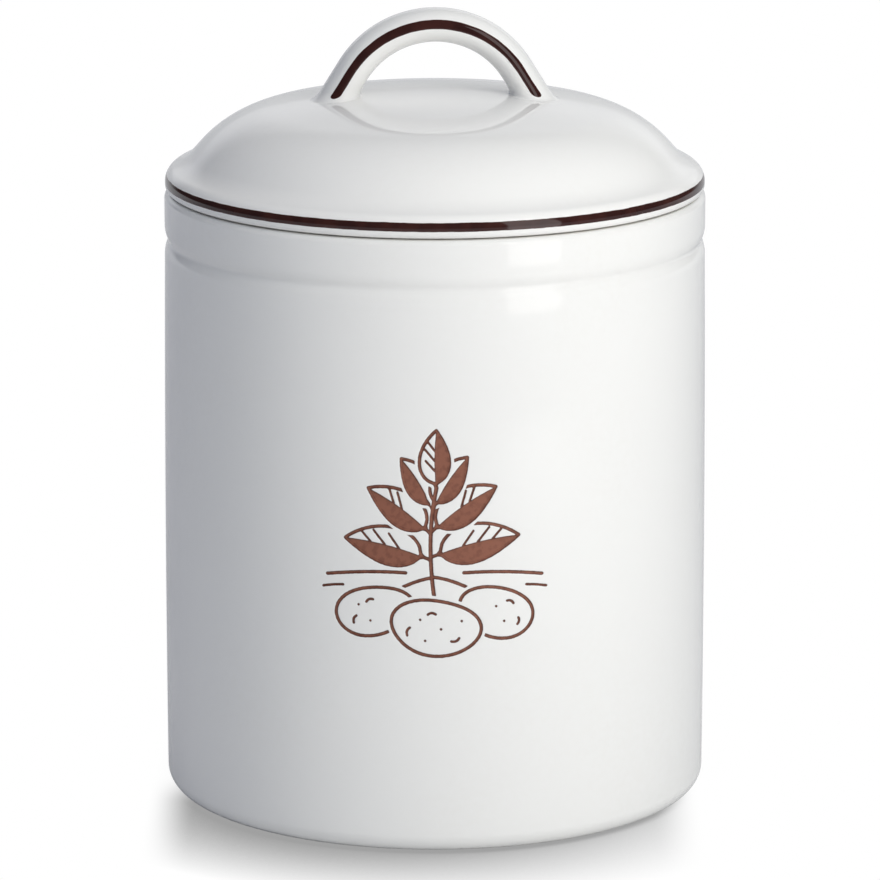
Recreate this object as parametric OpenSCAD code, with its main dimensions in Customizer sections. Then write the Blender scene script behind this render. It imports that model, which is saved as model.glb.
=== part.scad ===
// Glazed ceramic storage crock with a domed lift-off lid and an arched strap handle.
// Millimetres, +Z up. The origin is the centre of the foot, on the surface that the jar stands on.

/* [Jar] */
// Outside diameter at the collar
jar_d = 189.4; // [140:0.2:260]
// Height from the table to the top of the rim
jar_h = 214; // [150:1:320]
// How much wider the radius is at the foot than at the collar
jar_draft = 0.7; // [0:0.1:4]
// How far the side swells out at half its height
jar_belly = 0.4; // [0:0.1:3]
// Thickness of the side wall at the collar
jar_wall = 6.7; // [4:0.1:12]
// Thickness of the floor above the recess in the foot
jar_floor = 7.5; // [4:0.5:16]
// Radius of the outer edge at the foot
base_edge_r = 6.5; // [3:0.5:14]
// Radius where the floor meets the wall inside
inner_edge_r = 14; // [4:1:30]
// Outer edge radius of the rim
rim_outer_r = 2.4; // [0.5:0.1:3]
// Inner edge radius of the rim
rim_inner_r = 1.4; // [0.5:0.1:3]

/* [Collar groove] */
// Depth from the rim down to the middle of the groove
groove_drop = 16.9; // [10:0.1:40]
// Depth of the groove
groove_depth = 1.2; // [0.4:0.1:2]
// Radius of its two soft shoulders
groove_shoulder_r = 10; // [4:0.5:14]
// Flat width at its bottom
groove_land = 0.8; // [0.4:0.1:3]

/* [Foot ring] */
// Width of the bare ring that the jar stands on
foot_w = 7.5; // [4:0.5:14]
// Depth of the recess inside the ring
foot_recess = 2.2; // [1:0.1:5]
// Radius of the ring's inner edge
foot_edge_r = 1; // [0.4:0.1:1.6]

/* [Lid] */
// How far the side of the lid stands back from the side of the collar
lid_inset = 0.3; // [0:0.1:2]
// Gap between the rim and the underside of the lid
seat_gap = 0.4; // [0.3:0.05:1]
// Thickness of the domed shell
lid_wall = 6; // [4:0.1:9]
// Height of the lid's side below the middle of its rolled edge
lid_side_h = 3.2; // [2.6:0.1:8]
// Radius of the lower edge of the lid's side
lid_lip_r = 2; // [0.4:0.1:2.4]
// Radius of the rolled edge
roll_r = 5.2; // [3:0.1:8]
// Angle at which the roll passes into the hollow curve
roll_a = 67.2; // [60:0.1:76]
// Radius of the hollow curve between the roll and the dome
cove_r = 17; // [8:0.5:24]
// Angle of the straight flank of the dome, measured to its normal
flank_a = 41.5; // [36:0.5:50]
// Length of the straight flank
flank_l = 3.4; // [0.4:0.1:8]
// Radius of the dome's shoulder
shoulder_r = 43; // [30:1:60]
// Angle at which the shoulder passes into the crown
crown_a = 79.5; // [76:0.5:83]

/* [Spigot and seal] */
// Gap between the spigot and the mouth of the jar
spigot_gap = 1.8; // [0.8:0.1:3]
// Length of the spigot below the underside of the lid
spigot_h = 16; // [14:0.5:30]
// Thickness of the spigot
spigot_wall = 5.2; // [4:0.1:9]
// Radius where the spigot meets the underside of the lid
spigot_root_r = 1.2; // [0.4:0.1:1.6]
// Height of the groove that holds the seal
seal_h = 6; // [4:0.5:8]
// Depth of the groove that holds the seal
seal_seat = 1.6; // [1:0.1:2.4]
// Distance from the tip of the spigot up to that groove
seal_raise = 4; // [3:0.5:5]
// Clearance between the seal and its groove, in which the lid can turn
seal_fit = 0.1; // [0.05:0.01:0.2]
// Gap between the seal's lips and the mouth of the jar
seal_clear = 0.3; // [0.3:0.05:0.6]
// Thickness of a lip of the seal at its root
lip_t = 0.9; // [0.6:0.1:1.2]

/* [Handle] */
// Radius of the arch at the middle of the strap
arch_r = 33.6; // [26:0.1:50]
// How far the centre of the arch lies under the top of the dome
arch_sink = 10.1; // [6:0.1:14]
// Lean of the straight legs below the arch, from the vertical
leg_lean = 32; // [24:1:38]
// Thickness of the strap
strap_t = 11.8; // [8:0.1:16]
// Depth of the strap from front to back
strap_w = 18; // [12:0.5:26]
// How far each foot spreads over the dome
foot_spread = 2; // [1:0.1:7]
// Height of the curve from the foot into the leg
foot_rise = 5; // [3:0.5:10]
// How far the handle is turned, seen from above
handle_turn = 3; // [-180:1:180]

/* [Painted bands] */
// Height of the band round the lid
band_h = 3; // [1.5:0.1:3.6]
// How far the middle of the lid band lies above the middle of the roll
band_raise = 0.9; // [0:0.1:1.4]
// Width of the band on each edge of the handle
strap_band_w = 2.9; // [1.5:0.1:4]
// How far that band lies outside the middle of the strap
strap_band_out = 1.2; // [0:0.1:1.4]
// Distance from the dome at which that band ends
strap_band_stop = 2; // [1:0.5:8]
// How far the colour stands proud of the glaze
band_rise = 0.12; // [0.1:0.02:0.4]

/* [Hidden] */
$fn = 180;
arc_steps = 12;
glaze = [0.95, 0.95, 0.93];
band_brown = [0.22, 0.13, 0.12];
silicone = [0.90, 0.91, 0.90];
// depth to which a painted band is rooted in the piece that carries it
band_root = 0.8;

// Radii and levels of the jar
collar_r = jar_d / 2;
foot_side_r = collar_r + jar_draft;
mouth_r = collar_r - jar_wall;
floor_z = foot_recess + jar_floor;
foot_out_r = foot_side_r - base_edge_r;
foot_in_r = foot_out_r - foot_w;
groove_z = jar_h - groove_drop;
groove_turn = acos(1 - groove_depth / groove_shoulder_r);
groove_half = groove_shoulder_r * sin(groove_turn) + groove_land / 2;

// Radii and levels of the lid
lid_r = collar_r - lid_inset;
lid_z = jar_h + seat_gap;
roll_z = lid_z + lid_side_h;
spigot_r = mouth_r - spigot_gap;
spigot_in_r = spigot_r - spigot_wall;
spigot_z = lid_z - spigot_h;
seal_seat_z = spigot_z + seal_raise;
seal_seat_r = spigot_r - seal_seat;

// A unit vector at an angle, and points along an arc
function dir(a) = [cos(a), sin(a)];
function arc(c, r, from, to, n = arc_steps) = [for (i = [0:n]) c + r * dir(from + (to - from) * i / n)];

// Centres of the lid's arcs, each tangent to the one before it
roll_c = [lid_r - roll_r, roll_z];
cove_c = roll_c + (roll_r + cove_r) * dir(roll_a);
flank_p = cove_c - cove_r * dir(flank_a) + flank_l * dir(flank_a + 90);
shoulder_c = flank_p - shoulder_r * dir(flank_a);
crown_r = shoulder_r + shoulder_c[0] / cos(crown_a);
crown_c = shoulder_c - (crown_r - shoulder_r) * dir(crown_a);
dome_z = crown_c[1] + crown_r;

// Angle at which the underside of the shoulder meets the inside of the spigot
under_r = shoulder_r - lid_wall;
under_a = acos((spigot_in_r - shoulder_c[0]) / under_r);

// The jar's side swells evenly between the edge of the foot and the collar groove
side_top_z = groove_z - groove_half;
side_steps = 10;
function side_point(t) = [
    foot_side_r - jar_draft * t + 4 * jar_belly * t * (1 - t),
    base_edge_r + (side_top_z - base_edge_r) * t
];

// Half of the jar's section, from the middle of the foot round to the middle of the floor
jar_outline = concat(
    [[0, foot_recess]],
    arc([foot_in_r - foot_edge_r, foot_recess - foot_edge_r], foot_edge_r, 90, 0, 4),
    [[foot_in_r, 0]],
    arc([foot_out_r, base_edge_r], base_edge_r, -90, 0),
    [for (i = [1:side_steps - 1]) side_point(i / side_steps)],
    arc([collar_r - groove_shoulder_r, side_top_z], groove_shoulder_r, 0, groove_turn, 5),
    arc([collar_r - groove_shoulder_r, groove_z + groove_half], groove_shoulder_r, -groove_turn, 0, 5),
    arc([collar_r - rim_outer_r, jar_h - rim_outer_r], rim_outer_r, 0, 90, 6),
    arc([mouth_r + rim_inner_r, jar_h - rim_inner_r], rim_inner_r, 90, 180, 6),
    arc([mouth_r - inner_edge_r, floor_z + inner_edge_r], inner_edge_r, 0, -90),
    [[0, floor_z]]
);

// Half of the lid's section, from the lip over the dome and back under it to the spigot
lid_outline = concat(
    arc([lid_r - lid_lip_r, lid_z + lid_lip_r], lid_lip_r, -90, 0, 5),
    arc(roll_c, roll_r, 0, roll_a),
    arc(cove_c, -cove_r, roll_a, flank_a),
    arc(shoulder_c, shoulder_r, flank_a, crown_a, 16),
    arc(crown_c, crown_r, crown_a, 90, 8),
    arc(crown_c, crown_r - lid_wall, 90, crown_a, 8),
    arc(shoulder_c, under_r, crown_a, under_a, 16),
    arc([spigot_in_r + spigot_wall / 2, spigot_z + spigot_wall / 2], spigot_wall / 2, 180, 360, 10),
    [
        [spigot_r, seal_seat_z],
        [seal_seat_r, seal_seat_z],
        [seal_seat_r, seal_seat_z + seal_h],
        [spigot_r, seal_seat_z + seal_h]
    ],
    arc([spigot_r + spigot_root_r, lid_z - spigot_root_r], spigot_root_r, 180, 90, 4)
);

// Section of the band round the lid, which follows the side and the roll
lid_band_low = roll_z + band_raise - band_h / 2;
lid_band_top_a = asin((band_raise + band_h / 2) / roll_r);
lid_band_outline = concat(
    [[lid_r - band_root, lid_band_low], [lid_r + band_rise, lid_band_low]],
    arc(roll_c, roll_r + band_rise, 0, lid_band_top_a, 8),
    [roll_c + (roll_r - band_root) * dir(lid_band_top_a)]
);

// Section of the seal: a band in the groove with two lips that lean up and out
seal_in_r = seal_seat_r + seal_fit;
seal_z = seal_seat_z + seal_fit;
seal_ring_h = seal_h - 2 * seal_fit;
lip_reach = mouth_r - seal_clear - spigot_r;
seal_lip = [[0, 0], [lip_reach, lip_reach], [lip_reach, lip_reach + lip_t / 2], [0, lip_t]];
seal_outline = concat(
    [[seal_in_r, seal_z], [spigot_r, seal_z]],
    [for (k = [0, 1], p = seal_lip) [spigot_r, seal_z + seal_ring_h * (1 + 4 * k) / 8] + p],
    [[spigot_r, seal_z + seal_ring_h], [seal_in_r, seal_z + seal_ring_h]]
);

// The strap's surface is a family of lines: f is the place round its oval section, from the
// outside over the back to the inside, and s is the distance up from the dome
arch_c = [0, dome_z - arch_sink];
leg_dir = [sin(leg_lean), -cos(leg_lean)];
function line_r(f) = arch_r + strap_t / 2 * cos(f);
function line_y(f) = strap_w / 2 * sin(f);
function leg_top(f) = arch_c + line_r(f) * dir(leg_lean);
function leg_len(f) = let (
    q = leg_top(f) - crown_c,
    down = q * leg_dir
) -down - sqrt(down * down - q * q - pow(line_y(f), 2) + crown_r * crown_r);
function half_len(f) = leg_len(f) + line_r(f) * (90 - leg_lean) * PI / 180;
function line_xz(f, s) = s < leg_len(f)
    ? leg_top(f) + (leg_len(f) - s) * leg_dir
    : arch_c + line_r(f) * dir(leg_lean + (s - leg_len(f)) / line_r(f) * 180 / PI);
function line_point(f, s) = let (p = line_xz(f, s)) [p[0], line_y(f), p[1]];
function on_crown(x, y) = [x, y, crown_c[1] + sqrt(crown_r * crown_r - x * x - y * y)];

// Each foot spreads from the leg into the dome on a parabola
foot_steps = 6;
arch_steps = 13;
strap_sides = 28;
stations = 2 * (foot_steps + arch_steps);
function spread_point(f) = let (p = line_point(f, 0))
    on_crown(p[0] + foot_spread * cos(f), p[1] + foot_spread * sin(f));
function foot_point(f, t) = pow(1 - t, 2) * spread_point(f)
    + 2 * t * (1 - t) * line_point(f, 0)
    + t * t * line_point(f, foot_rise);
function flip(p) = [-p[0], p[1], p[2]];
function strap_point(f, i) =
    i > stations / 2 ? flip(strap_point(f, stations - i))
    : i < foot_steps ? foot_point(f, i / foot_steps)
    : line_point(f, foot_rise + (half_len(f) - foot_rise) * (i - foot_steps) / arch_steps);

// Each foot is hollowed to its middle, so that it bears on the dome with its edge alone
foot_hollow = pow(strap_w / 2 + foot_spread, 2) / (2 * crown_r);
under_point = on_crown(line_xz(90, 0)[0], 0) + [0, 0, foot_hollow];

// Rings of points from foot to foot, then one point under each foot
strap_points = concat(
    [for (i = [0:stations], j = [0:strap_sides - 1]) strap_point(360 * j / strap_sides, i)],
    [under_point, flip(under_point)]
);
function ring_index(i, j) = i * strap_sides + j % strap_sides;
under_first = (stations + 1) * strap_sides;
strap_faces = concat(
    [for (i = [0:stations - 1], j = [0:strap_sides - 1])
        [ring_index(i, j), ring_index(i + 1, j), ring_index(i, j + 1)]],
    [for (i = [0:stations - 1], j = [0:strap_sides - 1])
        [ring_index(i, j + 1), ring_index(i + 1, j), ring_index(i + 1, j + 1)]],
    [for (j = [0:strap_sides - 1]) [under_first, ring_index(0, j), ring_index(0, j + 1)]],
    [for (j = [0:strap_sides - 1])
        [under_first + 1, ring_index(stations, j + 1), ring_index(stations, j)]]
);

// Section of the band on one edge of the strap, as radius from the arch's centre and depth
strap_band_mid = acos(strap_band_out / (strap_t / 2));
strap_band_half = asin(strap_band_w / strap_t);
function edge_arc(grow, from, to) = [for (i = [0:6]) let (f = from + (to - from) * i / 6)
    [arch_r + (strap_t / 2 + grow) * cos(f), (strap_w / 2 + grow) * sin(f)]];
strap_band_outline = concat(
    edge_arc(band_rise, strap_band_mid - strap_band_half, strap_band_mid + strap_band_half),
    edge_arc(-band_root, strap_band_mid + strap_band_half, strap_band_mid - strap_band_half)
);

// Open body with its collar, groove and foot ring
module jar() {
    color(glaze)
        rotate_extrude()
            polygon(jar_outline);
}

// Domed shell with its rolled edge, painted band, hollow underside and spigot
module lid() {
    color(glaze)
        rotate_extrude()
            polygon(lid_outline);
    color(band_brown)
        rotate_extrude()
            polygon(lid_band_outline);
}

// Painted band on the front edge of the strap: over the arch and down both legs
module strap_band() {
    translate([0, 0, arch_c[1]])
        rotate([90, 0, 0]) {
            rotate([0, 0, leg_lean])
                rotate_extrude(angle = 180 - 2 * leg_lean)
                    polygon(strap_band_outline);
            for (side = [0, 1])
                mirror([side, 0, 0])
                    rotate([0, 0, leg_lean])
                        rotate([90, 0, 0])
                            linear_extrude(leg_len(strap_band_mid) - strap_band_stop)
                                polygon(strap_band_outline);
        }
}

// Arched strap whose feet spread over the dome, painted on its front and back edges
module lid_handle() {
    rotate([0, 0, handle_turn]) {
        color(glaze)
            polyhedron(points = strap_points, faces = strap_faces, convexity = 4);
        color(band_brown) {
            strap_band();
            mirror([0, 1, 0])
                strap_band();
        }
    }
}

// Soft ring in the groove of the spigot
module lid_seal() {
    color(silicone)
        rotate_extrude()
            polygon(seal_outline);
}

jar();
lid();
lid_handle();
lid_seal();
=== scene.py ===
"""Looks of a glazed ceramic storage crock: jar, domed lid, strap handle and the seal in the lid.

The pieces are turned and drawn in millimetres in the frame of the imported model, then dressed with
glaze, enamel, stain, bare clay and silicone.
"""

import logging
import math
from collections.abc import Callable, Iterator
from dataclasses import dataclass, field
from enum import Enum

import bmesh
import bpy
import numpy as np
from mathutils import Matrix, Vector


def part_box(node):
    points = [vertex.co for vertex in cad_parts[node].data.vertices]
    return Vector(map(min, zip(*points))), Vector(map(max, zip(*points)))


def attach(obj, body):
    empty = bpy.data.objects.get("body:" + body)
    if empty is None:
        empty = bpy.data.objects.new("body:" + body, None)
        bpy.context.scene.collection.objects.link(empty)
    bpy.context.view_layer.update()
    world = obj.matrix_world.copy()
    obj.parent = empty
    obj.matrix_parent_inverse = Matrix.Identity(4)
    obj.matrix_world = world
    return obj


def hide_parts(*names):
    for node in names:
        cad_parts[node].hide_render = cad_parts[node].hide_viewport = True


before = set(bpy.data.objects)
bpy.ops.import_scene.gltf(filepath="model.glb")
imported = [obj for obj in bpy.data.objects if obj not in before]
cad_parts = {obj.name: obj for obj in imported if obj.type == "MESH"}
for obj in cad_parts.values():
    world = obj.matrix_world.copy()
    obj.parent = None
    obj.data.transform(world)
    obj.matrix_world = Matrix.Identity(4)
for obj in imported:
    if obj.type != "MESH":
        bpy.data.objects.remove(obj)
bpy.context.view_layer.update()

MM = 0.001
MERGE = 0.001 * MM
SAME_POINT = 0.01
FULL_TURN = 360.0
SEAT_GAP = 0.4
log = logging.getLogger("crock")

Point = tuple[float, float]
Place = tuple[float, float, float]
Colour = tuple[float, float, float]
Socket = bpy.types.NodeSocket
Shape = bpy.types.Object
Material = bpy.types.Material


class Body(Enum):
    """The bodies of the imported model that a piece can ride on."""

    JAR = "jar"
    SEAL = "seal"
    LID = "lid"


class Slot(Enum):
    """Names of the material slots."""

    JAR = "jar_glaze"
    LID = "lid_glaze"
    HANDLE = "handle_glaze"
    SEAL = "seal_silicone"


def top_of(node: str) -> float:
    """Highest level of a CAD node in millimetres."""
    return round(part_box(node)[1].z / MM, 1)


def foot_of(node: str) -> float:
    """Lowest level of a CAD node in millimetres."""
    return round(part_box(node)[0].z / MM, 1)


def direction(angle: float) -> np.ndarray:
    """Unit vector at an angle in degrees."""
    turned = math.radians(angle)
    return np.array([math.cos(turned), math.sin(turned)])


@dataclass
class Outline:
    """Half of a turned section: points at a radius and a level, in millimetres."""

    points: list[Point] = field(default_factory=list)

    def point(self, radius: float, level: float) -> "Outline":
        """Adds one corner."""
        self.points.append((radius, level))
        return self

    def arc(self, centre: Point, radius: float, start: float, stop: float, steps: int) -> "Outline":
        """Adds an arc.

        Args:
            centre: Centre of the arc.
            radius: Its radius, negative where the form is hollow.
            start: Angle of its first point in degrees.
            stop: Angle of its last point.
            steps: How many chords it has.

        Returns:
            This outline.
        """
        for i in range(steps + 1):
            place = np.array(centre) + radius * direction(start + (stop - start) * i / steps)
            self.point(float(place[0]), float(place[1]))
        return self

    def clean(self) -> list[Point]:
        """The points without those that repeat the one before."""
        kept = [self.points[0]]
        for place in self.points[1:]:
            if math.dist(place, kept[-1]) > SAME_POINT:
                kept.append(place)
        return kept


def select_none() -> None:
    """Deselects every object."""
    bpy.ops.object.select_all(action="DESELECT")


def start_editing(shape: Shape) -> None:
    """Makes a shape the only selected one and opens it for editing."""
    select_none()
    shape.select_set(True)
    bpy.context.view_layer.objects.active = shape
    bpy.ops.object.mode_set(mode="EDIT")
    bpy.ops.mesh.select_mode(type="VERT")


def stop_editing() -> None:
    """Goes back to object mode."""
    bpy.ops.object.mode_set(mode="OBJECT")


def close_up() -> None:
    """Merges doubled points, drops edges without faces and turns every face outwards, in edit mode."""
    bpy.ops.mesh.select_all(action="SELECT")
    bpy.ops.mesh.remove_doubles(threshold=MERGE)
    bpy.ops.mesh.delete_loose()
    bpy.ops.mesh.select_all(action="SELECT")
    bpy.ops.mesh.normals_make_consistent(inside=False)


def turn(name: str, outline: Outline, steps: int) -> Shape:
    """Draws an outline as a chain of edges and spins it round the upright axis.

    Args:
        name: Name of the new piece.
        outline: The section.
        steps: How many facets go round it.

    Returns:
        The closed shape, open in object mode, with its object at the origin.
    """
    points = [Vector((radius, 0.0, level)) * MM for radius, level in outline.clean()]
    select_none()
    bpy.ops.mesh.primitive_plane_add(size=MM, location=(0.0, 0.0, 0.0))
    shape = bpy.context.active_object
    shape.name = name
    shape.data.name = name
    start_editing(shape)
    bpy.ops.mesh.select_all(action="SELECT")
    bpy.ops.mesh.merge(type="CENTER")
    bpy.ops.transform.translate(value=points[0])
    for here, there in zip(points[:-1], points[1:]):
        bpy.ops.mesh.extrude_region_move(TRANSFORM_OT_translate={"value": there - here})
    bpy.ops.mesh.select_all(action="SELECT")
    bpy.ops.mesh.spin(
        steps=steps,
        angle=math.radians(FULL_TURN),
        use_auto_merge=True,
        center=(0.0, 0.0, 0.0),
        axis=(0.0, 0.0, 1.0),
    )
    close_up()
    stop_editing()
    return shape


def shade(shape: Shape, angle: float) -> None:
    """Smooths the shading across edges that turn by less than an angle in degrees."""
    select_none()
    shape.select_set(True)
    bpy.context.view_layer.objects.active = shape
    bpy.ops.object.shade_smooth_by_angle(angle=math.radians(angle))


def positions(shape: Shape) -> np.ndarray:
    """Places of a shape's points in millimetres, one row each."""
    flat = np.empty(len(shape.data.vertices) * 3)
    shape.data.vertices.foreach_get("co", flat)
    return flat.reshape(-1, 3) / MM


def move_points(shape: Shape, places: np.ndarray) -> None:
    """Puts a shape's points at new places in millimetres."""
    shape.data.vertices.foreach_set("co", (places * MM).ravel())
    shape.data.update()


def note(shape: Shape, name: str, values: np.ndarray) -> None:
    """Stores one number for each point of a shape, for its material to read."""
    layer = shape.data.attributes.new(name=name, type="FLOAT", domain="POINT")
    layer.data.foreach_set("value", values.astype(np.float32))


class Nodes:
    """A tree of nodes, with short calls for those that the finishes and the studio share."""

    def __init__(self, tree: bpy.types.NodeTree) -> None:
        """Takes the tree to fill."""
        self.tree = tree

    def node(self, kind: str, **settings: object) -> bpy.types.Node:
        """Adds a node and sets its named properties."""
        made = self.tree.nodes.new(kind)
        for name, value in settings.items():
            setattr(made, name, value)
        return made

    def join(self, source: Socket | float | Colour, target: Socket) -> None:
        """Links a socket to an input, or writes a plain value on it."""
        if isinstance(source, Socket):
            self.tree.links.new(source, target)
        elif isinstance(source, tuple):
            target.default_value = (*source, 1.0)
        else:
            target.default_value = source

    def math(self, operation: str, *values: Socket | float, clamp: bool = False) -> Socket:
        """One sum on numbers or sockets."""
        made = self.node("ShaderNodeMath", operation=operation, use_clamp=clamp)
        for value, target in zip(values, made.inputs):
            self.join(value, target)
        return made.outputs[0]

    def step(self, value: Socket, low: float, high: float, start: float = 0.0, stop: float = 1.0) -> Socket:
        """A soft step.

        Args:
            value: What is compared.
            low: Value at which the step starts.
            high: Value at which it ends.
            start: Result up to low.
            stop: Result from high on.

        Returns:
            The result's socket.
        """
        made = self.node("ShaderNodeMapRange", interpolation_type="SMOOTHSTEP")
        names = ("Value", "From Min", "From Max", "To Min", "To Max")
        for given, name in zip((value, low, high, start, stop), names):
            self.join(given, made.inputs[name])
        return made.outputs["Result"]

    def blend(self, factor: Socket | float, first: Socket | Colour, second: Socket | Colour) -> Socket:
        """Mixes two colours."""
        made = self.node("ShaderNodeMix", data_type="RGBA")
        for value, place in zip((factor, first, second), (0, 6, 7)):
            self.join(value, made.inputs[place])
        return made.outputs[2]

    def level(self, factor: Socket | float, first: Socket | float, second: Socket | float) -> Socket:
        """Mixes two numbers."""
        made = self.node("ShaderNodeMix", data_type="FLOAT")
        for value, place in zip((factor, first, second), (0, 2, 3)):
            self.join(value, made.inputs[place])
        return made.outputs[0]

    def split(self, vector: Socket) -> list[Socket]:
        """The three parts of a vector."""
        made = self.node("ShaderNodeSeparateXYZ")
        self.join(vector, made.inputs[0])
        return list(made.outputs)


class Recipe(Nodes):
    """A material's nodes round its surface shader."""

    def __init__(self, name: str) -> None:
        """Starts a material."""
        self.material = bpy.data.materials.new(name)
        self.material.use_nodes = True
        super().__init__(self.material.node_tree)
        self.shader = self.tree.nodes["Principled BSDF"]
        self.place = self.node("ShaderNodeTexCoord").outputs["Object"]
        self.x, self.y, self.z = self.split(self.place)

    def radius(self) -> Socket:
        """Distance from the upright axis in millimetres."""
        squares = [self.math("MULTIPLY", part, part) for part in (self.x, self.y)]
        return self.math("MULTIPLY", self.math("SQRT", self.math("ADD", *squares)), 1.0 / MM)

    def noise(self, scale: float, detail: float = 2.0) -> Socket:
        """Cloudy variation from 0 to 1 with a scale in waves a metre."""
        made = self.node("ShaderNodeTexNoise")
        self.join(self.place, made.inputs["Vector"])
        made.inputs["Scale"].default_value = scale
        made.inputs["Detail"].default_value = detail
        return made.outputs["Fac"]

    def read(self, name: str) -> Socket:
        """A number stored on the points."""
        return self.node("ShaderNodeAttribute", attribute_name=name).outputs["Fac"]

    def bumps(self, *layers: tuple[Socket, float]) -> None:
        """Gives the surface fine relief.

        Args:
            layers: For each layer its height from 0 to 1, and what 1 stands for in millimetres.
        """
        normal = None
        for height, reach in layers:
            made = self.node("ShaderNodeBump")
            made.inputs["Distance"].default_value = reach * MM
            self.join(height, made.inputs["Height"])
            if normal is not None:
                self.join(normal, made.inputs["Normal"])
            normal = made.outputs["Normal"]
        self.join(normal, self.shader.inputs["Normal"])

    def finish(self, colour: Socket | Colour, roughness: Socket | float, **plain: float) -> Material:
        """Joins colour and roughness to the shader and sets its plain values."""
        self.join(colour, self.shader.inputs["Base Color"])
        self.join(roughness, self.shader.inputs["Roughness"])
        for name, value in plain.items():
            self.shader.inputs[name.replace("_", " ")].default_value = value
        return self.material


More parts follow.
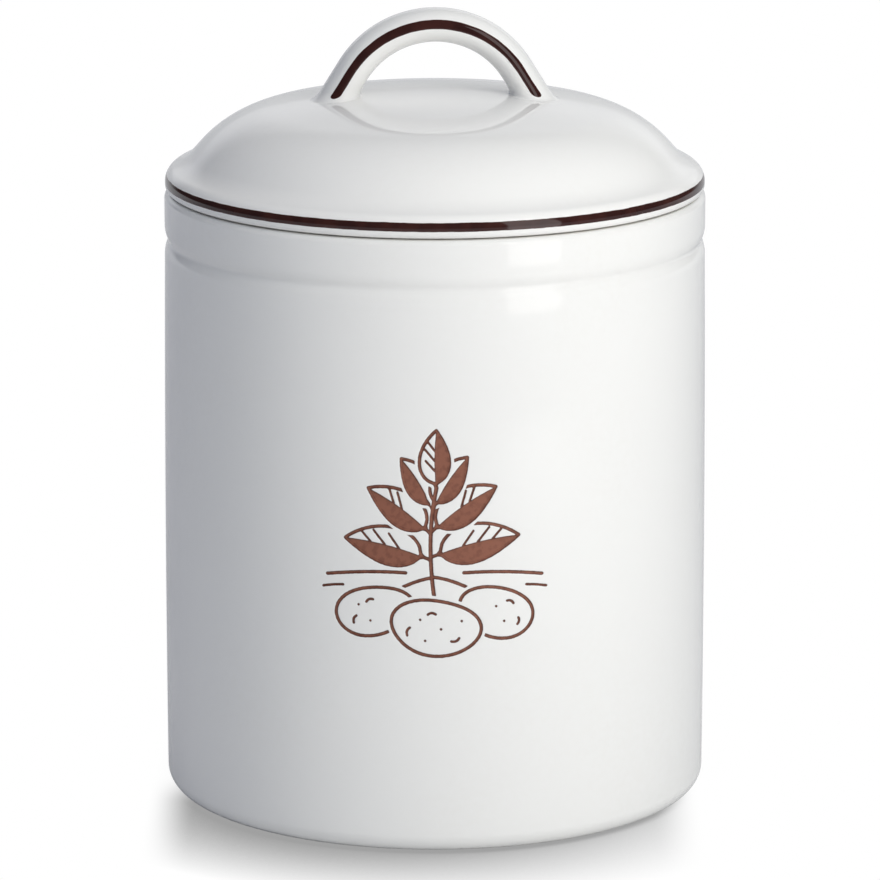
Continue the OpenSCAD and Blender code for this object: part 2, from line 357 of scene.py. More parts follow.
@dataclass(frozen=True)
class Glaze:
    """Glossy warm white glaze, and the enamel, stain and bare clay that belong with it."""

    white: Colour = (0.845, 0.84, 0.82)
    thin_white: Colour = (0.80, 0.785, 0.75)
    gloss: float = 0.03
    soft_gloss: float = 0.055
    refraction: float = 1.5
    wave: float = 0.02
    peel: float = 0.0016
    enamel: Colour = (0.030, 0.0105, 0.0095)
    enamel_thin: Colour = (0.072, 0.024, 0.019)
    enamel_gloss: float = 0.06
    enamel_rise: float = 0.05
    stain: Colour = (0.255, 0.092, 0.054)
    stain_dark: Colour = (0.105, 0.030, 0.016)
    stain_gloss: float = 0.42
    clay: Colour = (0.66, 0.61, 0.53)
    clay_dark: Colour = (0.55, 0.49, 0.41)
    clay_gloss: float = 0.78
    clay_grit: float = 0.12

    def coat(self, recipe: Recipe) -> tuple[Socket, Socket]:
        """White glaze with its soft clouds.

        Args:
            recipe: The material that gets it.

        Returns:
            Sockets with its colour and its roughness.
        """
        clouds = recipe.step(recipe.noise(17.0, 3.0), 0.3, 0.7)
        grain = recipe.step(recipe.noise(420.0), 0.25, 0.8, 0.0, 0.25)
        colour = recipe.blend(recipe.math("MULTIPLY", clouds, grain), self.white, self.thin_white)
        return colour, recipe.level(recipe.noise(46.0), self.gloss, self.soft_gloss)

    def skin(self, recipe: Recipe) -> list[tuple[Socket, float]]:
        """The long soft waves and the fine peel of a fired glaze, as layers of relief."""
        return [(recipe.noise(34.0, 1.0), self.wave), (recipe.noise(640.0, 1.0), self.peel)]

    def paint(
        self, recipe: Recipe, edge: Socket, colour: Socket, roughness: Socket
    ) -> tuple[Socket, Socket, Socket]:
        """Lays a band of dark enamel over the glaze.

        Args:
            recipe: The material that gets it.
            edge: Distance from the band's edge in millimetres, negative on the band.
            colour: Colour under the band.
            roughness: Roughness under the band.

        Returns:
            Sockets with the colour, the roughness and the band's mask.
        """
        wander = recipe.math("MULTIPLY_ADD", recipe.noise(210.0, 3.0), 0.34, -0.17)
        uneven = recipe.math("ADD", edge, wander)
        mask = recipe.step(uneven, 0.05, -0.05)
        rim = recipe.step(uneven, -0.45, 0.0, 0.0, 0.8)
        brush = recipe.step(recipe.noise(130.0, 3.0), 0.35, 0.75, 0.0, 0.45)
        thin = recipe.math("MAXIMUM", rim, brush)
        enamel = recipe.blend(thin, self.enamel, self.enamel_thin)
        return recipe.blend(mask, colour, enamel), recipe.level(mask, roughness, self.enamel_gloss), mask

    def dry(self, recipe: Recipe, mask: Socket, colour: Socket, roughness: Socket) -> tuple[Socket, Socket]:
        """Leaves the clay bare where a mask is 1."""
        speckled = recipe.blend(recipe.step(recipe.noise(1300.0), 0.4, 0.75), self.clay, self.clay_dark)
        return recipe.blend(mask, colour, speckled), recipe.level(mask, roughness, self.clay_gloss)

    def for_jar(self, recipe: Recipe, foot: float) -> Material:
        """The jar's finish: stained emblem, and bare clay on the ring that it stands on.

        Args:
            recipe: The material to fill.
            foot: Level below which the foot is bare, in millimetres.

        Returns:
            The material.
        """
        colour, roughness = self.coat(recipe)
        mark = recipe.read(Emblem.MARK)
        wander = recipe.math("MULTIPLY_ADD", recipe.noise(900.0), 0.2, -0.1)
        edge = recipe.math("ADD", mark, wander)
        stained = recipe.step(edge, 0.07, -0.09)
        pooled = recipe.step(mark, -0.62, -0.1)
        worn = recipe.step(recipe.noise(520.0, 3.0), 0.3, 0.7, -0.25, 0.35)
        depth = recipe.math("ADD", pooled, worn, clamp=True)
        stain = recipe.blend(depth, self.stain, self.stain_dark)
        colour = recipe.blend(stained, colour, stain)
        roughness = recipe.level(stained, roughness, self.stain_gloss)
        level = recipe.math("MULTIPLY_ADD", recipe.noise(95.0), 0.5 * MM, -0.25 * MM)
        bare = recipe.step(recipe.math("ADD", recipe.z, level), (foot + 0.08) * MM, (foot - 0.08) * MM)
        colour, roughness = self.dry(recipe, bare, colour, roughness)
        grit = recipe.math("MULTIPLY", recipe.noise(1500.0), bare)
        recipe.bumps(*self.skin(recipe), (grit, self.clay_grit))
        return recipe.finish(colour, roughness, IOR=self.refraction)

    def for_lid(self, recipe: Recipe, band: Point, band_r: float, seat: float) -> Material:
        """The lid's finish: enamel round the rolled edge, bare clay where it sat in the kiln.

        Args:
            recipe: The material to fill.
            band: Lowest and highest level of the band in millimetres.
            band_r: Radius outside which the band is painted.
            seat: Level of the underside that is left bare.

        Returns:
            The material.
        """
        colour, roughness = self.coat(recipe)
        height = recipe.math("MULTIPLY", recipe.z, 1.0 / MM)
        off = recipe.math("ABSOLUTE", recipe.math("SUBTRACT", height, sum(band) / 2))
        edge = recipe.math("SUBTRACT", off, (band[1] - band[0]) / 2)
        edge = recipe.math("MAXIMUM", edge, recipe.math("SUBTRACT", band_r, recipe.radius()))
        colour, roughness, mask = self.paint(recipe, edge, colour, roughness)
        under = recipe.step(height, seat + 0.12, seat + 0.04)
        ring = recipe.math("MULTIPLY", under, recipe.step(height, seat - 0.12, seat - 0.04))
        colour, roughness = self.dry(recipe, ring, colour, roughness)
        recipe.bumps(*self.skin(recipe), (mask, self.enamel_rise))
        return recipe.finish(colour, roughness, IOR=self.refraction)

    def for_handle(self, recipe: Recipe) -> Material:
        """The handle's finish: enamel along both edges of the strap."""
        colour, roughness = self.coat(recipe)
        colour, roughness, mask = self.paint(recipe, recipe.read(Handle.EDGE), colour, roughness)
        recipe.bumps(*self.skin(recipe), (mask, self.enamel_rise))
        return recipe.finish(colour, roughness, IOR=self.refraction)


@dataclass(frozen=True)
class Silicone:
    """Satin, slightly translucent white silicone."""

    milk: Colour = (0.78, 0.79, 0.77)
    clear: Colour = (0.70, 0.715, 0.70)
    satin: float = 0.36
    refraction: float = 1.41
    depth: float = 0.002

    def material(self, recipe: Recipe) -> Material:
        """The seal's finish, with the fine marks of its mould."""
        clouds = recipe.step(recipe.noise(70.0, 3.0), 0.3, 0.7)
        roughness = recipe.level(recipe.noise(240.0), self.satin - 0.05, self.satin + 0.09)
        recipe.bumps((recipe.noise(1800.0), 0.006))
        recipe.shader.inputs["Subsurface Radius"].default_value = (1.0, 0.95, 0.9)
        colour = recipe.blend(clouds, self.milk, self.clear)
        plain = {"IOR": self.refraction, "Subsurface_Weight": 0.35, "Subsurface_Scale": self.depth}
        return recipe.finish(colour, roughness, **plain)


@dataclass
class Piece:
    """What every piece has: its name, its body, the CAD node that it stands for and its slot."""

    name: str
    body: Body
    node: str
    slot: Slot

    def place(self, shape: Shape, material: Material) -> Shape:
        """Dresses a finished shape and puts it in the frame."""
        shape.data.materials.clear()
        shape.data.materials.append(material)
        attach(shape, self.body.value)
        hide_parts(self.node)
        log.info("%s: %d faces, on %s", self.name, len(shape.data.polygons), self.body.value)
        return shape


def bezier(start: Point, pull: Point, stop: Point, count: int = 12) -> np.ndarray:
    """Points along a curve from start to stop, drawn towards pull."""
    t = np.linspace(0.0, 1.0, count)[:, None]
    return (1 - t) ** 2 * np.array(start) + 2 * t * (1 - t) * np.array(pull) + t * t * np.array(stop)


@dataclass
class Drawing:
    """Distance from each point to the edge of what is drawn, negative inside, in millimetres."""

    points: np.ndarray
    far: float = 10.0
    reach: float = 4.0
    mark: np.ndarray = field(init=False)

    def __post_init__(self) -> None:
        """Starts with nothing drawn."""
        self.mark = np.full(len(self.points), self.far)

    def to_path(self, path: np.ndarray) -> np.ndarray:
        """Distance from each point to a path, far where it is out of reach."""
        result = np.full(len(self.points), self.far)
        low, high = path.min(axis=0) - self.reach, path.max(axis=0) + self.reach
        near = np.all((self.points > low) & (self.points < high), axis=1)
        close = self.points[near]
        best = np.full(len(close), self.far)
        for start, stop in zip(path[:-1], path[1:]):
            along = stop - start
            share = np.clip((close - start) @ along / max(float(along @ along), 1e-9), 0.0, 1.0)
            best = np.minimum(best, np.linalg.norm(close - start - share[:, None] * along, axis=1))
        result[near] = best
        return result

    def to_loop(self, loop: np.ndarray) -> np.ndarray:
        """Distance from each point to a closed loop, negative inside it."""
        closed = np.vstack([loop, loop[:1]])
        odd = np.zeros(len(self.points), bool)
        across, up = self.points.T
        for (x0, y0), (x1, y1) in zip(closed[:-1], closed[1:]):
            if y0 != y1:
                odd ^= ((y0 > up) != (y1 > up)) & (across < x0 + (up - y0) * (x1 - x0) / (y1 - y0))
        distance = self.to_path(closed)
        return np.where(odd, -distance, distance)

    def line(self, path: np.ndarray, half: float) -> None:
        """Draws a line with round ends."""
        self.mark = np.minimum(self.mark, self.to_path(path) - half)

    def fill(self, loop: np.ndarray) -> None:
        """Fills a loop."""
        self.mark = np.minimum(self.mark, self.to_loop(loop))

    def cover(self, loop: np.ndarray, half: float, gap: float) -> None:
        """Clears a loop and a gap round it, then draws its edge."""
        distance = self.to_loop(loop)
        self.mark = np.maximum(self.mark, gap - distance)
        self.mark = np.minimum(self.mark, np.abs(distance) - half)


@dataclass(frozen=True)
class Tuber:
    """One tuber: centre, half lengths, tilt, and its eyes as x, y, lean and length, 0 for a dot."""

    centre: Point
    size: Point
    tilt: float
    phase: float
    eyes: tuple[tuple[float, float, float, float], ...]
    step: float = 7.5

    def draw(self, drawing: Drawing, line: float, thin: float, gap: float) -> None:
        """Draws the tuber over what is behind it."""
        turned = np.radians(np.arange(0.0, FULL_TURN, self.step))
        swell = 1 + 0.045 * np.cos(2 * turned + self.phase) + 0.035 * np.cos(3 * turned - self.phase)
        flat = np.column_stack([np.cos(turned), np.sin(turned)]) * self.size * swell[:, None]
        tilted = np.column_stack([direction(self.tilt), direction(self.tilt + 90)])
        drawing.cover(np.array(self.centre) + flat @ tilted.T, line, gap)
        for x, y, lean, length in self.eyes:
            middle = np.array(self.centre) + tilted @ np.array([x, y])
            half = direction(self.tilt + lean) * length / 2
            sag = direction(self.tilt + lean - 90) * length * 0.38
            drawing.line(bezier(middle - half, middle + sag, middle + half, 7), thin)


@dataclass(frozen=True)
class Leaf:
    """One leaf of the emblem: one half is filled, the other (light, 1 left or -1 right) has ribs."""

    root: Point
    angle: float
    length: float
    width: float
    bend: float
    light: int
    ribs: tuple[float, ...]
    stalk: float = 0.12

    def draw(self, drawing: Drawing, line: float, thin: float, gap: float) -> None:
        """Draws the leaf over what is behind it."""
        u = np.linspace(0.0, 1.0, 25)
        arch = np.outer(self.bend * u * (1 - u) * 4, direction(self.angle + 90))
        spine = np.array(self.root) + self.length * (np.outer(u, direction(self.angle)) + arch)
        blade = np.clip((u - self.stalk) / (1 - self.stalk), 0.0, 1.0)
        swell = blade**0.62 * (1 - blade) ** 0.95
        half = (self.width / 2 * swell / swell.max())[:, None]
        ahead = np.gradient(spine, axis=0)
        ahead /= np.linalg.norm(ahead, axis=1)[:, None]
        aside = np.column_stack([-ahead[:, 1], ahead[:, 0]])
        first = int(np.argmax(blade > 0)) - 1
        left, right = spine + aside * half, spine - aside * half
        drawing.cover(np.vstack([left[first:], right[first:-1][::-1]]), line, gap)
        drawing.line(spine[: first + 2], line)
        dark = right if self.light > 0 else left
        drawing.fill(np.vstack([spine[first:], dark[first:-1][::-1]]))
        for share in self.ribs:
            i = int(share * (len(u) - 1))
            tip = spine[i] + half[i] * (0.75 * ahead[i] + 0.62 * self.light * aside[i])
            drawing.line(np.array([spine[i], tip]), thin * 0.9)


@dataclass
class Emblem:
    """A potato plant pressed into the front of the jar: a generic design of lines and filled leaves."""

    MARK = "mark"

    level: float = 107.4
    reach: float = 44.8
    scale: float = 1.04
    line: float = 0.6
    thin: float = 0.46
    gap: float = 1.5
    depth: float = 0.42
    lip: float = 0.12
    wall: float = 0.62
    cuts: int = 7
    skin: float = 2.0
    margin: float = 3.0

    def tubers(self) -> Iterator[Tuber]:
        """The tubers, from back to front."""
        left = (
            (-6.8, -1.6, 235.0, 2.6),
            (-0.4, 3.6, 190.0, 2.4),
            (-4.4, 3.0, 0.0, 0.0),
            (-1.8, -3.0, 0.0, 0.0),
        )
        right = (
            (3.6, 4.0, 168.0, 2.4),
            (7.6, -1.8, 95.0, 2.2),
            (-0.8, 1.8, 0.0, 0.0),
            (3.0, -2.6, 0.0, 0.0),
        )
        front = (
            (-8.8, -1.8, 255.0, 2.8),
            (-1.5, 4.4, 185.0, 2.6),
            (6.6, -3.8, 25.0, 2.8),
            (-5.2, 2.4, 0.0, 0.0),
            (1.8, -0.4, 0.0, 0.0),
            (8.4, 2.6, 0.0, 0.0),
            (-3.2, -4.6, 0.0, 0.0),
        )
        yield Tuber((-20.2, -20.8), (12.6, 8.4), 14.0, 0.4, left)
        yield Tuber((20.6, -21.2), (12.8, 8.2), -13.0, 2.0, right)
        yield Tuber((0.3, -26.0), (14.4, 9.6), -3.0, 1.0, front)

    def leaves(self) -> Iterator[Leaf]:
        """The leaves, from the ground up."""
        yield Leaf((-1.4, -3.2), 167.0, 29.0, 12.6, -0.05, -1, (0.4, 0.56, 0.72))
        yield Leaf((-1.4, -2.4), 13.0, 30.0, 12.8, 0.05, 1, (0.4, 0.56, 0.72))
        yield Leaf((-1.2, 5.4), 144.0, 25.5, 11.4, -0.05, -1, (0.5, 0.66))
        yield Leaf((-1.2, 6.0), 35.0, 26.0, 11.6, 0.05, 1, (0.5, 0.66))
        yield Leaf((-0.6, 13.4), 121.0, 20.0, 9.4, -0.05, -1, ())
        yield Leaf((-0.5, 13.8), 57.0, 20.5, 9.6, 0.05, 1, ())

    def draw(self, points: np.ndarray) -> np.ndarray:
        """Draws the plant.

        Args:
            points: Places on the jar's face in millimetres, across and up from the emblem's middle.

        Returns:
            Each point's distance from the edge of the nearest line, negative inside it.
        """
        drawing = Drawing(points)
        for leaf in self.leaves():
            leaf.draw(drawing, self.line, self.thin, self.gap)
        tip = Leaf((0.5, 20.0), 90.0, 20.0, 9.8, 0.03, 1, (0.36, 0.53, 0.7))
        tip.draw(drawing, self.line, self.thin, self.gap)
        drawing.line(bezier((0.0, -17.0), (-3.0, 4.0), (0.6, 21.0), 16), self.line * 1.15)
        for side in (-1, 1):
            drawing.line(bezier((0.0, -9.0), (side * 7.5, -10.0), (side * 15.5, -15.5), 9), self.line)
            drawing.line(bezier((side * 9.5, -7.6), (side * 22.0, -7.0), (side * 36.0, -9.4), 9), self.line)
            low_line = bezier((side * 30.5, -12.6), (side * 34.0, -12.8), (side * 37.5, -13.6), 5)
            drawing.line(low_line, self.thin)
        for tuber in self.tubers():
            tuber.draw(drawing, self.line, self.thin, self.gap)
        return drawing.mark

    def press(self, shape: Shape, side: Callable[[np.ndarray], np.ndarray]) -> None:
        """Divides the front of the jar finely and presses the emblem into it.

        Args:
            shape: The jar.
            side: Gives the side's radius at a level, in millimetres.
        """
        radius = float(side(np.array(self.level)))
        start_editing(shape)
        bpy.ops.mesh.select_mode(type="FACE")
        bpy.ops.mesh.select_all(action="DESELECT")
        edited = bmesh.from_edit_mesh(shape.data)
        for face in edited.faces:
            middle = face.calc_center_median() / MM
            across = radius * math.atan2(middle.x, -middle.y)
            outside = math.hypot(middle.x, middle.y) > radius - self.skin
            if outside and math.hypot(across, middle.z - self.level) < self.reach:
                face.select_set(True)
        bmesh.update_edit_mesh(shape.data)
        bpy.ops.mesh.subdivide(number_cuts=self.cuts)
        stop_editing()

        places = positions(shape)
        radii = np.hypot(places[:, 0], places[:, 1])
        across = radius * np.arctan2(places[:, 0], -places[:, 1])
        up = places[:, 2] - self.level
        face = (np.hypot(across, up) < self.reach + self.margin) & (radii > radius - self.skin)
        places[face, :2] *= (side(places[face, 2]) / radii[face])[:, None]
        move_points(shape, places)
        mark = np.full(len(places), Drawing(np.zeros((1, 2))).far)
        mark[face] = self.draw(np.column_stack([across[face], up[face]]) / self.scale) * self.scale
        note(shape, self.MARK, mark)

        group = shape.vertex_groups.new(name="pressed")
        share = np.clip((self.lip - mark) / self.wall, 0.0, 1.0)
        share = share * share * (3 - 2 * share)
        for i in np.flatnonzero(share > 0):
            group.add([int(i)], float(share[i]), "REPLACE")
        press = shape.modifiers.new("press", "DISPLACE")
        press.direction = "NORMAL"
        press.mid_level = 0.0
        press.strength = -self.depth * MM
        press.vertex_group = group.name
        bpy.context.view_layer.objects.active = shape
        bpy.ops.object.modifier_apply(modifier=press.name)
        shape.vertex_groups.clear()
        log.info("emblem: %d points pressed", int((share > 0).sum()))


@dataclass
class Jar(Piece):
    """The open body with its collar, groove, rim and foot ring, turned in one piece."""

    height: float = field(default_factory=lambda: top_of("jar"))
    collar_r: float = 94.7
    wall: float = 6.7
    floor: float = 7.5
    draft: float = 0.7
    belly: float = 0.4
    base_edge_r: float = 6.5
    inner_edge_r: float = 14.0
    rim_outer_r: float = 2.4
    rim_inner_r: float = 1.4
    groove_drop: float = 16.9
    groove_depth: float = 1.2
    groove_shoulder_r: float = 10.0
    groove_land: float = 0.8
    foot_w: float = 7.5
    foot_recess: float = 2.2
    foot_edge_r: float = 1.0
    foot_inner_r: float = 0.4
    bare_below: float = 0.35
    steps: int = 232
    emblem: Emblem = field(default_factory=Emblem)

    @property
    def mouth_r(self) -> float:
        """Radius of the mouth."""
        return self.collar_r - self.wall

    @property
    def groove_turn(self) -> float:
        """Angle through which each shoulder of the groove turns."""
        return math.degrees(math.acos(1 - self.groove_depth / self.groove_shoulder_r))

    @property
    def groove_level(self) -> float:
        """Level of the middle of the groove."""
        return self.height - self.groove_drop

    @property
    def groove_half(self) -> float:
        """Half of the groove's height, shoulders included."""
        return self.groove_shoulder_r * math.sin(math.radians(self.groove_turn)) + self.groove_land / 2

    def side(self, level: np.ndarray) -> np.ndarray:
        """Radius of the side at a level between the base and the groove."""
        t = (level - self.base_edge_r) / (self.groove_level - self.groove_half - self.base_edge_r)
        return self.collar_r + self.draft * (1 - t) + 4 * self.belly * t * (1 - t)

    def levels(self) -> np.ndarray:
        """Levels of the rings up the side, closer together where the emblem is."""
        top = self.groove_level - self.groove_half
        low = self.emblem.level - self.emblem.reach - 1.0
        high = self.emblem.level + self.emblem.reach + 1.0
        below = np.linspace(self.base_edge_r, low, 11)[1:-1]
        above = np.linspace(high, top, 8)[1:-1]
        return np.concatenate([below, np.linspace(low, high, 35), above])

    def outline(self) -> Outline:
        """Half of the jar's section, from under its middle round to its floor."""
        foot_out_r = self.collar_r + self.draft - self.base_edge_r
        foot_in_r = foot_out_r - self.foot_w
        shoulder = self.collar_r - self.groove_shoulder_r
        low, high = (self.groove_level + way * self.groove_half for way in (-1, 1))
        edge, heel, base = self.foot_edge_r, self.foot_inner_r, self.base_edge_r
        rim, lip, inner = self.rim_outer_r, self.rim_inner_r, self.inner_edge_r
        made = Outline().point(0.0, self.foot_recess)
        made.arc((foot_in_r - edge, self.foot_recess - edge), edge, 90, 0, 5)
        made.arc((foot_in_r + heel, heel), heel, 180, 270, 4)
        made.arc((foot_out_r, base), base, -90, 0, 14)
        for level in self.levels():
            made.point(float(self.side(level)), float(level))
        made.arc((shoulder, low), self.groove_shoulder_r, 0, self.groove_turn, 8)
        made.arc((shoulder, high), self.groove_shoulder_r, -self.groove_turn, 0, 8)
        made.arc((self.collar_r - rim, self.height - rim), rim, 0, 90, 9)
        made.arc((self.mouth_r + lip, self.height - lip), lip, 90, 180, 7)
        made.arc((self.mouth_r - inner, self.floor_level + inner), inner, 0, -90, 14)
        return made.point(0.0, self.floor_level)

    @property
    def floor_level(self) -> float:
        """Level of the floor inside."""
        return self.foot_recess + self.floor

    def build(self, glaze: Glaze) -> Shape:
        """Turns, presses, shades and dresses the jar."""
        shape = turn(self.name, self.outline(), self.steps)
        self.emblem.press(shape, self.side)
        shade(shape, 50.0)
        return self.place(shape, glaze.for_jar(Recipe("jar_white_glaze"), self.bare_below))


@dataclass
class Dome:
    """The arcs of the lid's upper side, each tangent to the one before it."""

    radius: float = 94.4
    low: float = field(default_factory=lambda: top_of("jar") + SEAT_GAP)
    side_h: float = 3.2
    roll_r: float = 5.2
    roll_a: float = 67.2
    cove_r: float = 17.0
    flank_a: float = 41.5
    flank_l: float = 3.4
    shoulder_r: float = 43.0
    crown_a: float = 79.5

    @property
    def roll_c(self) -> np.ndarray:
        """Centre of the rolled edge."""
        return np.array([self.radius - self.roll_r, self.low + self.side_h])

    @property
    def cove_c(self) -> np.ndarray:
        """Centre of the hollow curve above the roll."""
        return self.roll_c + (self.roll_r + self.cove_r) * direction(self.roll_a)

    @property
    def shoulder_c(self) -> np.ndarray:
        """Centre of the dome's shoulder."""
        flank = self.cove_c - self.cove_r * direction(self.flank_a)
        flank = flank + self.flank_l * direction(self.flank_a + 90)
        return flank - self.shoulder_r * direction(self.flank_a)

    @property
    def crown_r(self) -> float:
        """Radius of the wide arc over the middle."""
        return self.shoulder_r + self.shoulder_c[0] / math.cos(math.radians(self.crown_a))

    @property
    def crown_c(self) -> np.ndarray:
        """Centre of that arc."""
        return self.shoulder_c - (self.crown_r - self.shoulder_r) * direction(self.crown_a)

    @property
    def top(self) -> float:
        """Level of the middle of the dome."""
        return float(self.crown_c[1]) + self.crown_r


@dataclass
class Lid(Piece):
    """The domed shell with its rolled edge and the spigot that drops into the mouth."""

    dome: Dome = field(default_factory=Dome)
    lip_r: float = 2.0
    wall: float = 6.0
    spigot_r: float = 86.2
    spigot_wall: float = 5.2
    spigot_low: float = field(default_factory=lambda: foot_of("lid"))
    spigot_root_r: float = 1.2
    groove_raise: float = 4.0
    groove_h: float = 6.0
    groove_depth: float = 1.6
    groove_edge_r: float = 0.25
    band_h: float = 3.0
    band_raise: float = 0.9
    steps: int = 288

    def outline(self) -> Outline:
        """Half of the lid's section, from the lip over the dome and under it to the spigot."""
        dome = self.dome
        under_r = dome.shoulder_r - self.wall
        inner = self.spigot_r - self.spigot_wall
        under_a = math.degrees(math.acos((inner - dome.shoulder_c[0]) / under_r))
        edge = self.groove_edge_r
        seat_r = self.spigot_r - self.groove_depth
        low = self.spigot_low + self.groove_raise
        high = low + self.groove_h
        made = Outline().arc((dome.radius - self.lip_r, dome.low + self.lip_r), self.lip_r, -90, 0, 7)
        made.arc(dome.roll_c, dome.roll_r, 0, dome.roll_a, 16)
        made.arc(dome.cove_c, -dome.cove_r, dome.roll_a, dome.flank_a, 10)
        made.arc(dome.shoulder_c, dome.shoulder_r, dome.flank_a, dome.crown_a, 18)
        made.arc(dome.crown_c, dome.crown_r, dome.crown_a, 90, 14)
        made.arc(dome.crown_c, dome.crown_r - self.wall, 90, dome.crown_a, 10)
        made.arc(dome.shoulder_c, under_r, dome.crown_a, under_a, 14)
        half = self.spigot_wall / 2
        made.arc((inner + half, self.spigot_low + half), half, 180, 360, 12)
        made.arc((self.spigot_r - edge, low - edge), edge, 0, 90, 3)
        made.point(seat_r, low)
        made.point(seat_r, high)
        made.arc((self.spigot_r - edge, high + edge), edge, -90, 0, 3)
        root = self.spigot_root_r
        made.arc((self.spigot_r + root, dome.low - root), root, 180, 90, 5)
        return made.point(*made.points[0])

    def build(self, glaze: Glaze) -> Shape:
        """Turns, shades and dresses the lid."""
        shape = turn(self.name, self.outline(), self.steps)
        shade(shape, 35.0)
        middle = float(self.dome.roll_c[1]) + self.band_raise
        band = (middle - self.band_h / 2, middle + self.band_h / 2)
        material = glaze.for_lid(Recipe("lid_white_glaze"), band, float(self.dome.roll_c[0]), self.dome.low)
        return self.place(shape, material)


